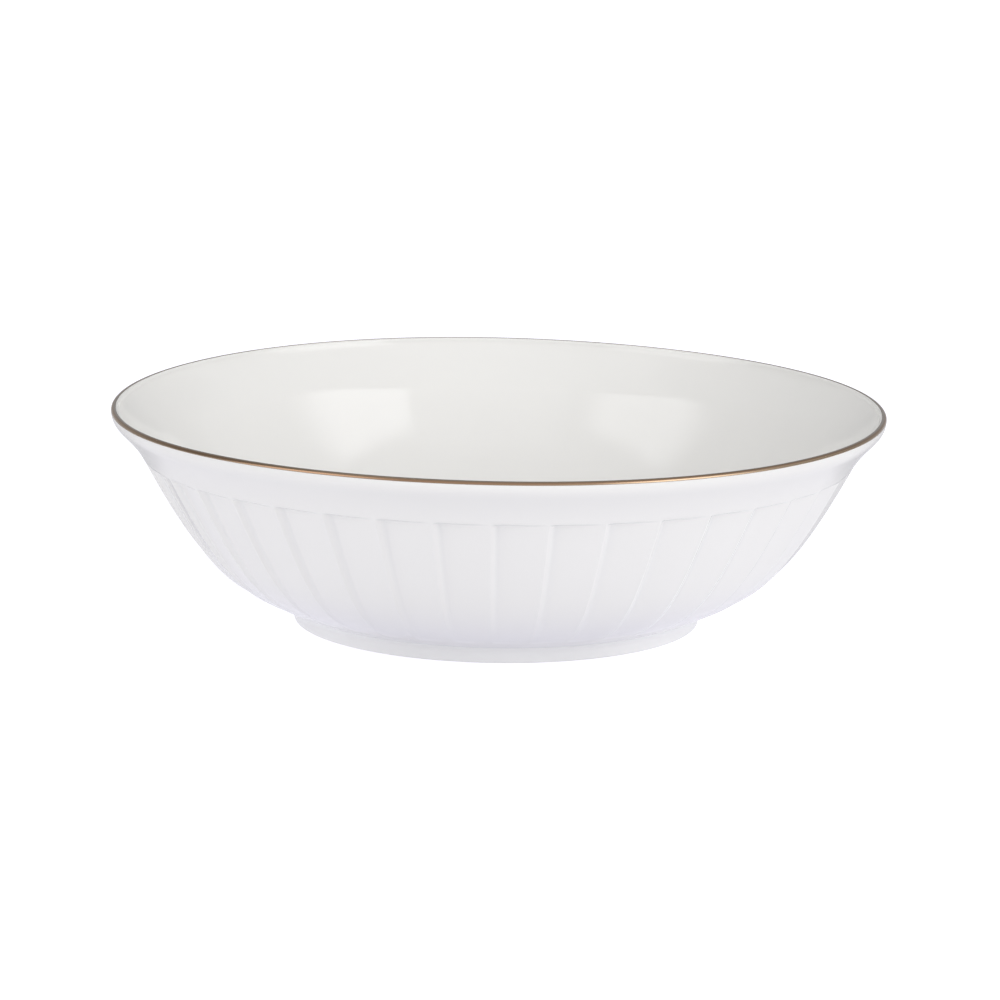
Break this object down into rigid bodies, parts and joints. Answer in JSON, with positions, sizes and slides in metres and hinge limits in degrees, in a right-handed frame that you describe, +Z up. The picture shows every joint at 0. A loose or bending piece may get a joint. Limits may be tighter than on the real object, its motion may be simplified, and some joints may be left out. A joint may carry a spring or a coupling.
{
  "type": "serving bowl",
  "caption": "Round serving bowl with a pleated outer wall, a flared lip edged with a gold line, and a low foot ring to stand on.",
  "frame": {"origin": "centre of the resting plane under the foot ring", "axes": "+Z up along the bowl's axis; -Y faces the viewer"},
  "size_m": [0.23, 0.23, 0.0644],
  "materials": {
    "porcelain": "gloss",
    "foot_porcelain": "gloss",
    "gold": "polished"
  },
  "bodies": {
    "root": {"bowl_body": "porcelain", "foot_ring": "foot_porcelain", "gold_rim_band": "gold"}
  },
  "joints": []
}
